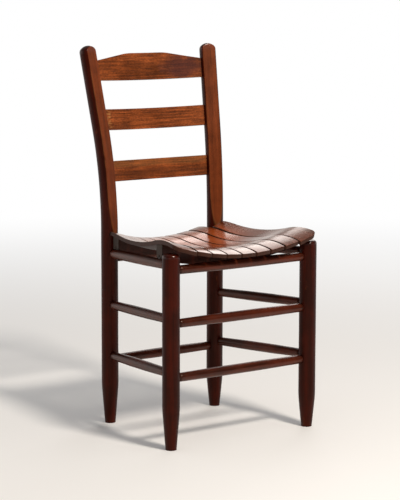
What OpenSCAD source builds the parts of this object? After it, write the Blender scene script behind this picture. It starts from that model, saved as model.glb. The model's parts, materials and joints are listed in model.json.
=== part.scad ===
// Ladder-back side chair with a dished seat of nine slats.
// Millimetres, +Z up, the front faces -Y. The origin is on the floor, in the middle of the outline.

/* [Legs and posts] */
// Diameter of the front legs and back posts
post_d = 43; // [38:0.5:52]
// Spacing of the front legs, centre to centre
front_width = 424; // [350:1:510]
// Spacing of the back posts at the floor, centre to centre
back_width = 334; // [278:1:402]
// Spacing of the front legs from the back posts, centre to centre
leg_depth = 328; // [272:1:394]
// Diameter of each foot at the floor
foot_d = 27; // [20:0.5:36]
// Height over which the two left feet taper
foot_taper_left = 112; // [40:1:140]
// Height over which the two right feet taper
foot_taper_right = 94; // [40:1:140]
// Rounding of the front legs' top edge
leg_top_round = 8; // [2:0.5:14]
// Clear height between the front legs and the seat above them
leg_gap = 9; // [2:0.5:20]

/* [Back] */
// Height of the back posts
back_height = 958; // [900:1:1150]
// Angle that the back leans at its top
lean = 11.8; // [4:0.1:16]
// Angle by which each post bends outwards as it bends back
splay = 18.2; // [0:0.1:30]
// Height of the start of the bend above the front crest of the seat
bend_above_seat = 26; // [10:1:60]
// Height over which the posts bend
bend_rise = 252; // [160:1:280]
// Depth of the flat shaved along the front of each post
flat_depth = 8.6; // [2:0.1:12]
// Height above the start of the bend at which the flat has its full depth
flat_full_rise = 100; // [60:1:150]
// Radius of the run-in below the flat
flat_run_in = 1860; // [600:10:3000]
// Height of the rounded top of each post
dome_h = 16; // [12:0.5:20]
// Radius of the shoulder of that rounded top
dome_shoulder = 12; // [6:0.5:12]

/* [Back slats] */
// Thickness of the back slats
slat_t = 8.5; // [6:0.5:12]
// How far the middle of each slat is bowed back
slat_bow = 19; // [8:0.5:30]
// Distance of the slat's ends behind the centre of the posts
slat_set_back = 4; // [0:0.5:6]
// Height of the top slat at its crest
top_slat_h = 68.4; // [50:0.2:90]
// Height of the middle and lower slats
slat_h = 52; // [40:0.5:60]
// Distance of the top slat's crest below the top of the posts
crest_drop = 18.6; // [14:0.2:40]
// Space between the top and the middle slat
upper_space = 72; // [60:1:84]
// Space between the middle and the lower slat
lower_space = 78; // [60:1:84]
// Half of the level length of the crest
crest_half = 59; // [30:1:90]
// Fall of the crest's shoulders for each millimetre outwards
crest_fall = 0.182; // [0.05:0.001:0.25]
// Length of the soft corner between crest and shoulder
crest_soften = 30; // [4:1:50]

/* [Seat] */
// Height of the seat at its front crest, in the middle
seat_height = 472.7; // [420:0.1:568]
// Thickness of the seat slats
seat_t = 10; // [7:0.5:14]
// Gap between neighbouring seat slats
seat_gap = 5; // [2:0.5:8]
// Depth of the dip below the front crest
dip_drop = 17.5; // [8:0.5:22]
// Height of the rear crest below the front crest
rear_drop = 7.1; // [2:0.1:7.5]
// Rise of the seat from its middle to its side edges
dish = 32; // [10:0.5:40]
// Distance of the front crest behind the front legs
front_crest_in = 27; // [10:1:50]
// Distance of the dip behind the front legs
dip_in = 185; // [140:1:200]
// Distance of the rear crest in front of the back posts
rear_crest_in = 14; // [0:1:30]
// Part of the tighter side's radii that the dip has, and its crest leaves
dip_share = 0.7; // [0.5:0.01:0.85]
// Reach of the seat in front of the front legs
seat_front = 33; // [20:1:45]
// Reach of the middle slats behind the back posts
seat_back = 26; // [15:1:40]
// Reach of the seat beyond the front legs at each side
side_front = 8; // [0:1:20]
// Reach of the seat beyond the back posts at each side
side_back = 7; // [0:1:20]
// Width of the two outer slats at the front
outer_front = 60; // [40:1:70]
// Width of the two outer slats at the back
outer_back = 36; // [24:1:45]
// Rounding of the outer slats' front corners, in plan
seat_corner = 20; // [4:1:26]

/* [Rails under the seat] */
// Thickness of the two cross-rails, front to back
rail_t = 22; // [16:0.5:28]
// Depth of the rails below the seat, in the middle
rail_depth = 24.5; // [16:0.5:26]
// Share of each half of a rail whose underside is nearly straight
rail_flat = 0.53; // [0.3:0.01:0.8]
// Depth of the notch at each end, over the side rung
rail_cope = 5; // [2:0.5:8]
// Distance of the front rail behind the front legs
front_rail_in = 58; // [40:1:90]
// Distance of the rear rail in front of the back posts
rear_rail_in = 37; // [34:1:60]
// Reach of the rails beyond the centre of the side rungs
rail_over = 1; // [0:0.5:8]

/* [Rungs] */
// Diameter of the rungs at their middle
rung_d = 24.5; // [20:0.5:28]
// Diameter of the rungs where they narrow to their ends
rung_neck_d = 22; // [19:0.5:26]
// Diameter of the side rungs that carry the seat
seat_rung_d = 25.4; // [21:0.2:30]
// Diameter of the tenons
tenon_d = 17; // [12:0.5:18]
// Distance of each tenon's end from the centre of its leg
tenon_stop = 9.5; // [9.5:0.5:13]
// Length of the rounded shoulder beside each leg
shoulder = 6; // [2:0.5:12]
// Height of the front seat rung below the seat's front crest
front_seat_drop = 36; // [32:0.5:60]
// Height of the side seat rungs' middle below the seat's front crest
side_seat_drop = 29.7; // [26:0.1:40]
// Height of the rear seat rung below the seat's front crest
rear_seat_drop = 48; // [44:0.5:80]
// Height of the front upper rung
front_upper_z = 307; // [260:1:340]
// Height of the side upper rungs, at their middle
side_upper_z = 312; // [260:1:340]
// Height of the front lower rung
front_lower_z = 175; // [150:1:210]
// Height of the side lower rungs, at their middle
side_lower_z = 181; // [150:1:210]
// Height of the rear lower rung
rear_lower_z = 164; // [150:1:210]
// Rise of the side rungs from back to front
side_rise = 11; // [0:0.5:16]

/* [Fasteners and fits] */
// Diameter of the screws that hold the seat slats on the rails
seat_screw_d = 3; // [2:0.1:4]
// Diameter of those screws' heads
seat_screw_head = 6; // [5:0.1:8]
// Length of those screws
seat_screw_l = 26; // [20:0.5:27]
// Thickness of slat left above each screw's point
seat_screw_cover = 3; // [2:0.5:5]
// Diameter of the nails that hold the rails on the rungs
rail_nail_d = 2.4; // [1.6:0.1:3.4]
// Diameter of those nails' heads
rail_nail_head = 5; // [3.5:0.1:6]
// Length of those nails
rail_nail_l = 20; // [14:0.5:22]
// Diameter of the pins through the back slats' ends
pin_d = 3; // [2:0.1:4]
// Clearance around tenons, slat ends, screws, nails and pins
fit = 0.1; // [0.05:0.05:0.3]
// Clearance beyond the ends of tenons and slats
end_fit = 0.5; // [0.3:0.1:1]

/* [Hidden] */

$fn = 96;
// Facets of the long arcs, whose radii are tens of times the pieces' thickness
long_fn = 720;
stain = "#6b2f1c";
stain_dark = "#4a1f15";
steel = "#8d8d8d";
left = -1;
right = 1;
post_r = post_d / 2;

// The posts bend along an arc of this radius
bend_r = bend_rise / sin(lean);
bend_start = seat_height + bend_above_seat;
bend_end = bend_start + bend_rise;
bend_offset = bend_r * (1 - cos(lean));
// The crown of a post's rounded top, tangent to its shoulder
dome_e = post_r - dome_shoulder;
dome_up = dome_h - dome_shoulder;
crown_down = (dome_e * dome_e - dome_up * dome_up) / (2 * dome_up);
crown_r = dome_h + crown_down;
// Height of the centre of the rounded top's shoulder, and the straight length below it
dome_z = back_height - crown_r + crown_down * cos(lean);
straight_l = (dome_z - bend_end) / cos(lean);

// How far a post's centre has moved along its bend at height z
function bend_at(z) =
    z < bend_start ? 0
    : z < bend_end ? bend_r - sqrt(bend_r * bend_r - pow(z - bend_start, 2))
    : bend_offset + (z - bend_end) * tan(lean);

// Half width of the seat at its front and back, and the turn of its outer slats in plan
half_front = front_width / 2 + side_front;
half_back = back_width / 2 + side_back;
seat_l = leg_depth + seat_front + seat_back;
outer_fan = atan((half_front - half_back - (outer_front - outer_back) / 2) / seat_l);

// Front and back reach of the whole chair from the middle of its legs: the inner front corners of
// the outer slats, and the rounded tops of the posts or the bow of the top slat
reach_front = leg_depth / 2 + seat_front + outer_front / 2 * sin(outer_fan)
    - seat_l / 2 * (1 - cos(outer_fan));
crest_z = back_height - crest_drop;
top_z = crest_z - top_slat_h;
top_lean = atan((bend_at(crest_z) - bend_at(top_z)) * cos(splay) / top_slat_h);
dome_lean = asin(sin(lean) * cos(splay));
reach_posts = bend_at(dome_z) * cos(splay) + dome_e * cos(dome_lean) + dome_shoulder;
reach_slat = bend_at(crest_z) * cos(splay) + (slat_set_back + slat_bow + slat_t / 2) * cos(top_lean);
reach_back = leg_depth / 2 + max(reach_posts, reach_slat);
legs_y = (reach_front - reach_back) / 2;
front_y = legs_y - leg_depth / 2;
back_y = legs_y + leg_depth / 2;

// Centre of a post at height z
function post_x(z) = back_width / 2 + bend_at(z) * sin(splay);
function post_y(z) = back_y + bend_at(z) * cos(splay);

// Legs in the order front left, front right, back left, back right
LEGS = [
    [-front_width / 2, front_y], [front_width / 2, front_y],
    [-back_width / 2, back_y], [back_width / 2, back_y]];
FL = 0;
FR = 1;
BL = 2;
BR = 3;

// Rungs: leg at each end, height at its middle, rise towards the second leg, diameter
LEFT_SEAT = [BL, FL, seat_height - side_seat_drop, side_rise, seat_rung_d];
LEFT_UPPER = [BL, FL, side_upper_z, side_rise, rung_d];
LEFT_LOWER = [BL, FL, side_lower_z, side_rise, rung_d];
RIGHT_SEAT = [BR, FR, seat_height - side_seat_drop, side_rise, seat_rung_d];
RIGHT_UPPER = [BR, FR, side_upper_z, side_rise, rung_d];
RIGHT_LOWER = [BR, FR, side_lower_z, side_rise, rung_d];
FRONT_SEAT = [FL, FR, seat_height - front_seat_drop, 0, rung_d];
FRONT_UPPER = [FL, FR, front_upper_z, 0, rung_d];
FRONT_LOWER = [FL, FR, front_lower_z, 0, rung_d];
REAR_SEAT = [BL, BR, seat_height - rear_seat_drop, 0, rung_d];
REAR_LOWER = [BL, BR, rear_lower_z, 0, rung_d];
RUNGS = [
    LEFT_SEAT, LEFT_UPPER, LEFT_LOWER, RIGHT_SEAT, RIGHT_UPPER, RIGHT_LOWER,
    FRONT_SEAT, FRONT_UPPER, FRONT_LOWER, REAR_SEAT, REAR_LOWER];

// Back slats: bottom and top height at the posts, and whether the slat has a crest
middle_z = top_z - upper_space - slat_h;
lower_z = middle_z - lower_space - slat_h;
TOP = [top_z, crest_z, true];
MIDDLE = [middle_z, middle_z + slat_h, false];
LOWER = [lower_z, lower_z + slat_h, false];
BACK_SLATS = [TOP, MIDDLE, LOWER];

// Seat profile: three tangent arcs, the rear crest, the dip and the front crest
seat_front_y = front_y - seat_front;
seat_back_y = back_y + seat_back;
front_crest = [front_y + front_crest_in, seat_height];
dip = [front_y + dip_in, seat_height - dip_drop];
rear_crest = [back_y - rear_crest_in, seat_height - rear_drop];
function radii_sum(crest) =
    (pow(crest[0] - dip[0], 2) + pow(crest[1] - dip[1], 2)) / (2 * (crest[1] - dip[1]));
dip_r = dip_share * min(radii_sum(front_crest), radii_sum(rear_crest));
front_r = radii_sum(front_crest) - dip_r;
rear_r = radii_sum(rear_crest) - dip_r;
// Angle of each joint between two arcs, from the vertical
front_join = asin((dip[0] - front_crest[0]) / (front_r + dip_r));
rear_join = asin((rear_crest[0] - dip[0]) / (rear_r + dip_r));
front_end = asin((front_crest[0] - seat_front_y) / front_r);
rear_end = asin((seat_back_y - rear_crest[0]) / rear_r);

// Height of the seat's middle line at y
function seat_z(y) =
    y < dip[0] - dip_r * sin(front_join)
        ? front_crest[1] - front_r + sqrt(front_r * front_r - pow(y - front_crest[0], 2))
    : y > dip[0] + dip_r * sin(rear_join)
        ? rear_crest[1] - rear_r + sqrt(rear_r * rear_r - pow(y - rear_crest[0], 2))
    : dip[1] + dip_r - sqrt(dip_r * dip_r - pow(y - dip[0], 2));

// Plan of the seat: the slats' pitch, and its half width, taper evenly from back to front
side_slats = 4;
inner_slats = 2 * side_slats - 1;
pitch_front = 2 * (half_front - outer_front - seat_gap / 2) / inner_slats;
pitch_back = 2 * (half_back - outer_back - seat_gap / 2) / inner_slats;
function along_seat(a, b, y) = a + (b - a) * (seat_back_y - y) / (seat_back_y - seat_front_y);
function half_seat(y) = along_seat(half_back, half_front, y);
function pitch(y) = along_seat(pitch_back, pitch_front, y);
// Left and right edge of slat i at y, where i runs from -side_slats to side_slats
function slat_left(i, y) =
    i == -side_slats ? -half_seat(y) : (i - 0.5) * pitch(y) + seat_gap / 2;
function slat_right(i, y) =
    i == side_slats ? half_seat(y) : (i + 0.5) * pitch(y) - seat_gap / 2;
function slat_mid(i, y) = (slat_left(i, y) + slat_right(i, y)) / 2;
seat_mid_y = (seat_front_y + seat_back_y) / 2;
// How far slat i is raised, tilted sideways and turned in plan
function slat_lift(i) = dish * pow(slat_mid(i, seat_mid_y) / half_seat(seat_mid_y), 2);
function slat_tilt(i) = atan(2 * dish * slat_mid(i, seat_mid_y) / pow(half_seat(seat_mid_y), 2));
function slat_fan(i) =
    atan((slat_mid(i, seat_front_y) - slat_mid(i, seat_back_y)) / (seat_back_y - seat_front_y));

front_rail_y = front_y + front_rail_in;
rear_rail_y = back_y - rear_rail_in;
RAILS_Y = [front_rail_y, rear_rail_y];
// Centre of the side seat rung at y, as [x, z]
function side_rung(y) =
    let (s = (back_y - y) / leg_depth)
    [back_width / 2 + s * (front_width - back_width) / 2,
     seat_height - side_seat_drop + side_rise * (s - 0.5)];

// Front legs end below the outer slats
leg_inner_x = front_width / 2 - post_r;
front_leg_h = seat_z(front_y) - seat_t - leg_gap
    + dish * pow(leg_inner_x / half_seat(front_y), 2);

rail_nail_angle = 60;
nail_head_t = 1;
screw_head_t = 2;
// Rise of a rail's underside over its nearly straight middle
rail_sag = 1.1;
// Distance of the outer slats' screws inside their middle line
outer_screw_in = 8;
pin_l = 26;
foot_chamfer = 1.2;
// Length below and above the corner over which a foot's taper starts
foot_soften = 14;
// Reach of cutting shapes beyond what they cut
past = 5;
// Gap between a post's bend and its straight top, and how much the ball that fills it is thicker than both
ball_gap = 0.5;
ball_hair = 0.03;

// ---- Shared shapes -------------------------------------------------------

// Places a shape that stands on the origin along the line from a towards b
module from_to(a, b) {
    d = b - a;
    translate(a)
        rotate([0, acos(d[2] / norm(d)), atan2(d[1], d[0])])
            children();
}

// Half section of a leg's foot: a straight taper with a soft start
module foot_section(taper) {
    foot = [foot_d / 2, 0];
    corner = [post_r, taper - foot_soften];
    below = corner + foot_soften * (foot - corner) / norm(foot - corner);
    polygon(concat(
        [[0, 0], [foot[0] - foot_chamfer, 0], foot + foot_chamfer * (corner - foot) / norm(corner - foot)],
        soft(below, corner, [post_r, taper]),
        [[0, taper]]));
}

// ---- Rungs ---------------------------------------------------------------

function rung_end(rung, k) =
    [LEGS[rung[k]][0], LEGS[rung[k]][1], rung[2] + (k - 0.5) * rung[3]];

// Turned rung: tenon, rounded shoulder, and a body a little fuller in the middle
module rung(rung) {
    a = rung_end(rung, 0);
    b = rung_end(rung, 1);
    half = norm(b - a) / 2;
    body_r = rung[4] / 2;
    neck_r = body_r - (rung_d - rung_neck_d) / 2;
    tenon_r = tenon_d / 2;
    neck = half - post_r - 1;
    curve = [for (t = [0 : 22.5 : 90])
        [tenon_r + (neck_r - tenon_r) * cos(t), neck - shoulder + shoulder * sin(t)]];
    side = concat([[0, 0], [body_r, 0], [body_r, half / 4]], curve,
        [[tenon_r, half - tenon_stop - 1], [tenon_r - 1, half - tenon_stop], [0, half - tenon_stop]]);
    color(stain)
        from_to((a + b) / 2, b)
            union() {
                rotate_extrude() polygon(side);
                mirror([0, 0, 1]) rotate_extrude() polygon(side);
            }
}

// Bores for the tenons of every rung that meets a leg
module sockets(leg) {
    for (rung = RUNGS, k = [0, 1])
        if (rung[k] == leg)
            from_to(rung_end(rung, k), rung_end(rung, 1 - k))
                translate([0, 0, tenon_stop - end_fit])
                    cylinder(h = post_r + past, d = tenon_d + 2 * fit);
}

// ---- Legs and posts ------------------------------------------------------

module front_leg(leg, taper) {
    color(stain_dark)
        difference() {
            translate(LEGS[leg])
                rotate_extrude() {
                    foot_section(taper);
                    translate([0, taper])
                        square([post_r, front_leg_h - leg_top_round - taper]);
                    square([post_r - leg_top_round, front_leg_h]);
                    translate([post_r - leg_top_round, front_leg_h - leg_top_round])
                        circle(leg_top_round);
                }
            sockets(leg);
        }
}

// Half section of a post's rounded top, above its last straight stretch
module dome_section() {
    intersection() {
        square([post_r, dome_h]);
        union() {
            translate([dome_e, 0]) circle(dome_shoulder);
            intersection() {
                translate([0, -crown_down]) circle(crown_r);
                polygon([[0, -crown_down], [2 * dome_e, crown_down], [0, 2 * crown_r]]);
            }
            square([dome_e, dome_shoulder]);
        }
    }
}

// Post in its own frame: +X is the way it bends, +Z is up
module post_blank(taper) {
    rotate_extrude() {
        foot_section(taper);
        translate([0, taper]) square([post_r, bend_start - taper]);
    }
    translate([bend_r, 0, bend_start])
        rotate([90, 0, 180])
            rotate_extrude(angle = lean, $fn = long_fn)
                translate([bend_r, 0])
                    circle(post_r, $fn = 96);
    // The bend and the straight stretch both end inside a ball, which their surfaces cross cleanly
    translate([bend_offset, 0, bend_end])
        rotate([0, lean, 0]) {
            sphere(post_r + ball_hair, $fn = 96);
            rotate_extrude() {
                translate([0, ball_gap]) square([post_r, straight_l - ball_gap]);
                translate([0, straight_l]) dome_section();
            }
        }
}

// Direction from the centre of the bend to the post, up by an angle
function ray(r, a) = r * [-cos(a), sin(a)];

// Side view of the wood shaved off the front of a post: run-in, bend and straight stretch
module flat_section() {
    centre = [bend_r, bend_start];
    flat_r = bend_r + post_r - flat_depth;
    full = asin(flat_full_rise / bend_r);
    run_in_centre = centre + ray(flat_r + flat_run_in, full);
    run_in = [for (a = [full + 5 : -0.5 : full + 0.25]) run_in_centre - ray(flat_run_in, a)];
    bend = [for (k = [0 : 8]) centre + ray(flat_r, full + (lean - full) * k / 8)];
    end = bend[8] + (straight_l + dome_h + past) * [sin(lean), cos(lean)];
    waste = -3 * post_d;
    polygon(concat(run_in, bend, [end, [waste, end[1]], [waste, run_in[0][1]]]));
}

module back_post(leg, side, taper) {
    color(stain_dark)
        difference() {
            translate(LEGS[leg])
                rotate(90 - side * splay)
                    difference() {
                        post_blank(taper);
                        rotate([90, 0, 0])
                            linear_extrude(2 * post_d, center = true)
                                flat_section();
                    }
            sockets(leg);
            for (slat = BACK_SLATS) {
                back_slat_shape(slat, fit);
                pin(slat, side, fit);
            }
        }
}

// ---- Back slats ----------------------------------------------------------

function slat_lean(slat) = atan((post_y(slat[1]) - post_y(slat[0])) / (slat[1] - slat[0]));

// Frame of a slat: X across, Y square to its face and backwards, Z up along it
module in_slat(slat) {
    translate([0, post_y(slat[0]), slat[0]])
        rotate([-slat_lean(slat), 0, 0])
            children();
}

// Corner at b, rounded between a and c
function soft(a, b, c) =
    [for (t = [0 : 0.2 : 1]) (1 - t) * (1 - t) * a + 2 * t * (1 - t) * b + t * t * c];

// Front view of a slat's upper edge, from right to left
function crest_line(half, h) =
    let (run = crest_soften / 2,
         corner = [crest_half, h],
         outer = corner + run * [1, -crest_fall],
         right_side = concat([[half, h - crest_fall * (half - crest_half)]],
             soft(outer, corner, corner - [run, 0])))
    concat(right_side, [for (p = reversed(right_side)) [-p[0], p[1]]]);

// Steam-bent slat with its ends let into the posts; grow makes the mortises' cutting shape
module back_slat_shape(slat, grow = 0) {
    h = (slat[1] - slat[0]) / cos(slat_lean(slat));
    span = post_x(slat[0]);
    half = span - 3 + (grow > 0 ? end_fit : 0);
    r = (span * span + slat_bow * slat_bow) / (2 * slat_bow);
    in_slat(slat)
        intersection() {
            translate([0, 0, -grow])
                linear_extrude(h + 2 * grow)
                    intersection() {
                        translate([0, slat_set_back + slat_bow - r])
                            difference() {
                                circle(r + slat_t / 2 + grow, $fn = long_fn);
                                circle(r - slat_t / 2 - grow, $fn = long_fn);
                            }
                        translate([-half, -slat_t]) square([2 * half, 2 * slat_t + 2 * slat_bow]);
                    }
            if (slat[2])
                rotate([90, 0, 0])
                    linear_extrude(4 * slat_bow + 4 * slat_t, center = true)
                        polygon(concat([[-half - past, -grow], [half + past, -grow]],
                            crest_line(half + past, h + grow)));
        }
}

// Pin through a slat's end, driven in from the back of the post
module pin(slat, side, grow = 0) {
    in_slat(slat)
        translate([side * (post_x(slat[0]) - post_r / 2), 0, slat_h / 2])
            rotate([-90, 0, 0])
                translate([0, 0, grow > 0 ? -post_r / 3 - end_fit : -post_r / 3])
                    cylinder(h = grow > 0 ? pin_l + past : pin_l, r = pin_d / 2 + grow, $fn = 24);
}

module back_slat(slat) {
    color(stain)
        difference() {
            back_slat_shape(slat);
            for (side = [left, right]) pin(slat, side, fit);
        }
}

// ---- Seat ----------------------------------------------------------------

// Points of an arc about a centre, between two angles from the vertical
function arc(centre, r, a0, a1) =
    let (n = ceil(abs(a1 - a0) / 2.5))
    [for (k = [0 : n]) centre + r * [sin(a0 + (a1 - a0) * k / n), cos(a0 + (a1 - a0) * k / n)]];

// Side view of the seat's surface, or of a line at a depth below it, from front to back
function seat_line(depth) = concat(
    arc(front_crest - [0, front_r], front_r - depth, -front_end, front_join),
    arc(dip + [0, dip_r], dip_r + depth, 180 + front_join, 180 - rear_join),
    arc(rear_crest - [0, rear_r], rear_r - depth, -rear_join, rear_end));

function reversed(list) = [for (k = [len(list) - 1 : -1 : 0]) list[k]];

// Frame of seat slat i: turned in plan, raised and tilted about its own middle line
module in_board(i) {
    translate([slat_mid(i, seat_mid_y), seat_mid_y, dip[1] + slat_lift(i)])
        rotate([0, 0, slat_fan(i)])
            rotate([0, -slat_tilt(i), 0])
                translate([0, -seat_mid_y, -dip[1]])
                    children();
}

// The bent board that a seat slat is cut from
module board(i, width) {
    in_board(i)
        rotate([90, 0, 90])
            linear_extrude(width, center = true)
                polygon(concat(seat_line(0), reversed(seat_line(seat_t))));
}

// Plan of slat i; widen reaches into the gaps beside it
module slat_plan(i, widen = 0) {
    y0 = seat_front_y - past;
    y1 = abs(i) == side_slats ? back_y - post_r - 1 : seat_back_y + past;
    polygon([
        [slat_left(i, y0) - widen, y0], [slat_right(i, y0) + widen, y0],
        [slat_right(i, y1) + widen, y1], [slat_left(i, y1) - widen, y1]]);
}

// Trims the front outer corner of an outer slat to a quarter round
module corner_plan(i) {
    side = sign(i);
    x = side * (half_seat(seat_front_y) - seat_corner);
    difference() {
        translate([x, seat_front_y - past])
            mirror([side < 0 ? 1 : 0, 0])
                square([seat_corner + past, seat_corner + past]);
        translate([x, seat_front_y + seat_corner]) circle(seat_corner);
    }
}

module seat_slat(i) {
    color(i % 2 == 0 ? stain : stain_dark)
        difference() {
            intersection() {
                board(i, 2 * outer_front);
                translate([0, 0, seat_height - 2 * dish])
                    linear_extrude(4 * dish)
                        difference() {
                            slat_plan(i);
                            if (abs(i) == side_slats) corner_plan(i);
                        }
            }
            for (y = RAILS_Y) seat_screw(i, y, fit);
        }
}

// Screw driven up through the rail at y into seat slat i, its head let into the rail
module seat_screw(i, y, grow = 0) {
    shank_r = seat_screw_d / 2 + grow;
    head_r = seat_screw_head / 2 + grow;
    in_board(i)
        translate([abs(i) == side_slats ? -sign(i) * outer_screw_in : 0, y,
                seat_z(y) - seat_screw_cover - seat_screw_l]) {
            cylinder(h = seat_screw_l + (grow > 0 ? end_fit : 0), r = shank_r, $fn = 24);
            cylinder(h = screw_head_t, r1 = head_r, r2 = shank_r, $fn = 24);
            if (grow > 0)
                translate([0, 0, -2 * dish])
                    cylinder(h = 2 * dish + 0.01, r = head_r, $fn = 24);
        }
}

// ---- Rails ---------------------------------------------------------------

// Arc through (x1, z1) and (x2, z2) that is centred on the middle plane, as [height of its centre, radius]
function middle_arc(x1, z1, x2, z2) =
    let (c = (x2 * x2 - x1 * x1) / (2 * (z2 - z1)) + (z1 + z2) / 2)
    [c, norm([x2, c - z2])];

// Cross-rail: nearly straight below and rising to its ends, cut to the underside of every slat above,
// notched over the side rungs
module rail(y) {
    rung = side_rung(y);
    half = rung[0] + rail_over;
    bottom = seat_z(y) - seat_t - rail_depth;
    foot = rung[1] + seat_rung_d / 2 - rail_cope;
    knee = rail_flat * half;
    middle = middle_arc(0, bottom, knee, bottom + rail_sag);
    outer = middle_arc(knee, bottom + rail_sag, half, foot);
    color(stain_dark)
        difference() {
            translate([0, y, 0])
                rotate([90, 0, 0])
                    linear_extrude(rail_t, center = true)
                        intersection() {
                            translate([0, middle[0]]) circle(middle[1], $fn = long_fn);
                            translate([0, outer[0]]) circle(outer[1], $fn = long_fn);
                            translate([-half, bottom - past])
                                square([2 * half, foot - bottom + 2 * past + 2 * dish]);
                        }
            // Room for the slats, and for the rail's waste above them
            for (i = [-side_slats : side_slats])
                intersection() {
                    slat_room(i);
                    translate([0, 0, seat_height - 2 * dish])
                        linear_extrude(5 * dish)
                            slat_plan(i, seat_gap / 2 + (abs(i) == side_slats ? past : 0.01));
                }
            for (side = [left, right]) {
                side_rung_bore(side);
                rail_nail(y, side, fit);
            }
            for (i = [-side_slats : side_slats]) seat_screw(i, y, fit);
        }
}

// The underside of seat slat i and everything above it, with a hair of clearance
module slat_room(i) {
    line = seat_line(seat_t + fit / 2);
    top = seat_height + 3 * dish;
    in_board(i)
        rotate([90, 0, 90])
            linear_extrude(2 * outer_front, center = true)
                polygon(concat(line, [[line[len(line) - 1][0], top], [line[0][0], top]]));
}

// Clearance cut for a side seat rung
module side_rung_bore(side) {
    rung = side < 0 ? LEFT_SEAT : RIGHT_SEAT;
    a = rung_end(rung, 0);
    b = rung_end(rung, 1);
    from_to(a, b) cylinder(h = norm(b - a), r = seat_rung_d / 2 + fit);
}

// Nail driven slantwise through the foot of a rail's end into the side rung
module rail_nail(y, side, grow = 0) {
    rung = side_rung(y);
    translate([side * (rung[0] + rail_over), y, rung[1] + seat_rung_d / 2 + rail_nail_head / 2 + 1])
        rotate([0, -side * (90 + rail_nail_angle), 0]) {
            cylinder(h = rail_nail_l + (grow > 0 ? end_fit : 0), r = rail_nail_d / 2 + grow, $fn = 24);
            translate([0, 0, grow > 0 ? -past : 0])
                cylinder(h = nail_head_t + grow + (grow > 0 ? past : 0),
                    r = rail_nail_head / 2 + grow, $fn = 24);
        }
}

module side_seat_rung(spec, side) {
    color(stain)
        difference() {
            rung(spec);
            for (y = RAILS_Y) rail_nail(y, side, fit);
        }
}

// ---- Fasteners -----------------------------------------------------------

module seat_screws() {
    color(steel)
        for (i = [-side_slats : side_slats], y = RAILS_Y) seat_screw(i, y);
}

module rail_nails() {
    color(steel)
        for (side = [left, right], y = RAILS_Y) rail_nail(y, side);
}

module slat_pins() {
    color(steel)
        for (slat = BACK_SLATS, side = [left, right]) pin(slat, side);
}

back_post(BL, left, foot_taper_left);  // back_post_left
back_post(BR, right, foot_taper_right);  // back_post_right
front_leg(FL, foot_taper_left);  // front_leg_left
front_leg(FR, foot_taper_right);  // front_leg_right
back_slat(TOP);  // top_slat
back_slat(MIDDLE);  // middle_slat
back_slat(LOWER);  // lower_slat
side_seat_rung(LEFT_SEAT, left);  // left_seat_rung
rung(LEFT_UPPER);  // left_upper_rung
rung(LEFT_LOWER);  // left_lower_rung
side_seat_rung(RIGHT_SEAT, right);  // right_seat_rung
rung(RIGHT_UPPER);  // right_upper_rung
rung(RIGHT_LOWER);  // right_lower_rung
rung(FRONT_SEAT);  // front_seat_rung
rung(FRONT_UPPER);  // front_upper_rung
rung(FRONT_LOWER);  // front_lower_rung
rung(REAR_SEAT);  // rear_seat_rung
rung(REAR_LOWER);  // rear_lower_rung
rail(front_rail_y);  // front_rail
rail(rear_rail_y);  // rear_rail
for (i = [-side_slats : side_slats])
    seat_slat(i);
seat_screws();
rail_nails();
slat_pins();
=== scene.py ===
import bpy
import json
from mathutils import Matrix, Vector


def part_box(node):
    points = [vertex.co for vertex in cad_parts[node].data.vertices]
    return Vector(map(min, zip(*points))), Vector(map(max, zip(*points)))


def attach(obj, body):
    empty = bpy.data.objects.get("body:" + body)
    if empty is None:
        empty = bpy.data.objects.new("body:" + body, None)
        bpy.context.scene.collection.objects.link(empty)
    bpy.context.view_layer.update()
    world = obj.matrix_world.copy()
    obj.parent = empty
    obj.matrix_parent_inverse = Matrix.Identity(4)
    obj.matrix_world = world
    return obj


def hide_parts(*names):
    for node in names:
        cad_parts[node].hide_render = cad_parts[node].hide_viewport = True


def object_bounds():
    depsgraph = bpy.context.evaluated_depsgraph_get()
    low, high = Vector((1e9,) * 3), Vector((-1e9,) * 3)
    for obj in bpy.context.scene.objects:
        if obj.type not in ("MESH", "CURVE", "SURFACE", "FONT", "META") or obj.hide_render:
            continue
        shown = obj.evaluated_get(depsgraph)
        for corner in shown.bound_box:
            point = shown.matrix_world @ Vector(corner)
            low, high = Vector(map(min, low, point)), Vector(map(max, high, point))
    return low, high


bl_info = {
    "name": "Ladder-Back Side Chair",
    "version": (1, 0, 0),
    "blender": (4, 5, 0),
    "location": "View3D > Sidebar > Chair",
    "description": "A worn, dark-stained side chair with a bent ladder back and a dished, boarded seat",
    "category": "Add Mesh",
}

import json
import math

import bmesh
import bpy
from bpy.props import FloatProperty, FloatVectorProperty, PointerProperty
from bpy.types import Operator, Panel, PropertyGroup
from mathutils import Matrix, Vector, noise

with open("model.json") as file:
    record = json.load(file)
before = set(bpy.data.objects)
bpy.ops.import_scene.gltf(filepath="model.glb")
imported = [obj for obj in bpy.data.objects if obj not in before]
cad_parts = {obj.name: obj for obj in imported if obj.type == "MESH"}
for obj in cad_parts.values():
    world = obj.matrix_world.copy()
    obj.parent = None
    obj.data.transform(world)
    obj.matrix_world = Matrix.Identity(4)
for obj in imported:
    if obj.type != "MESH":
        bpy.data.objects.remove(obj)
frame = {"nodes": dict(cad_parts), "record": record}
CAD_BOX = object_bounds()
ROOT = "root"
SIDES = {"left": -1, "right": 1}
SHARP_FROM = math.radians(50)
MERGE = 1e-6


def metres(name, description, default):
    """A length that a user may change."""
    return FloatProperty(name=name, description=description, default=default, min=0, unit="LENGTH")


def heights(name, description, default):
    """Two heights that a user may change."""
    return FloatVectorProperty(name=name, description=description, default=default, size=2, unit="LENGTH")


def degrees(name, description, default):
    """An angle that a user may change, given here in degrees."""
    return FloatProperty(name=name, description=description, default=math.radians(default), unit="ROTATION")


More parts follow.
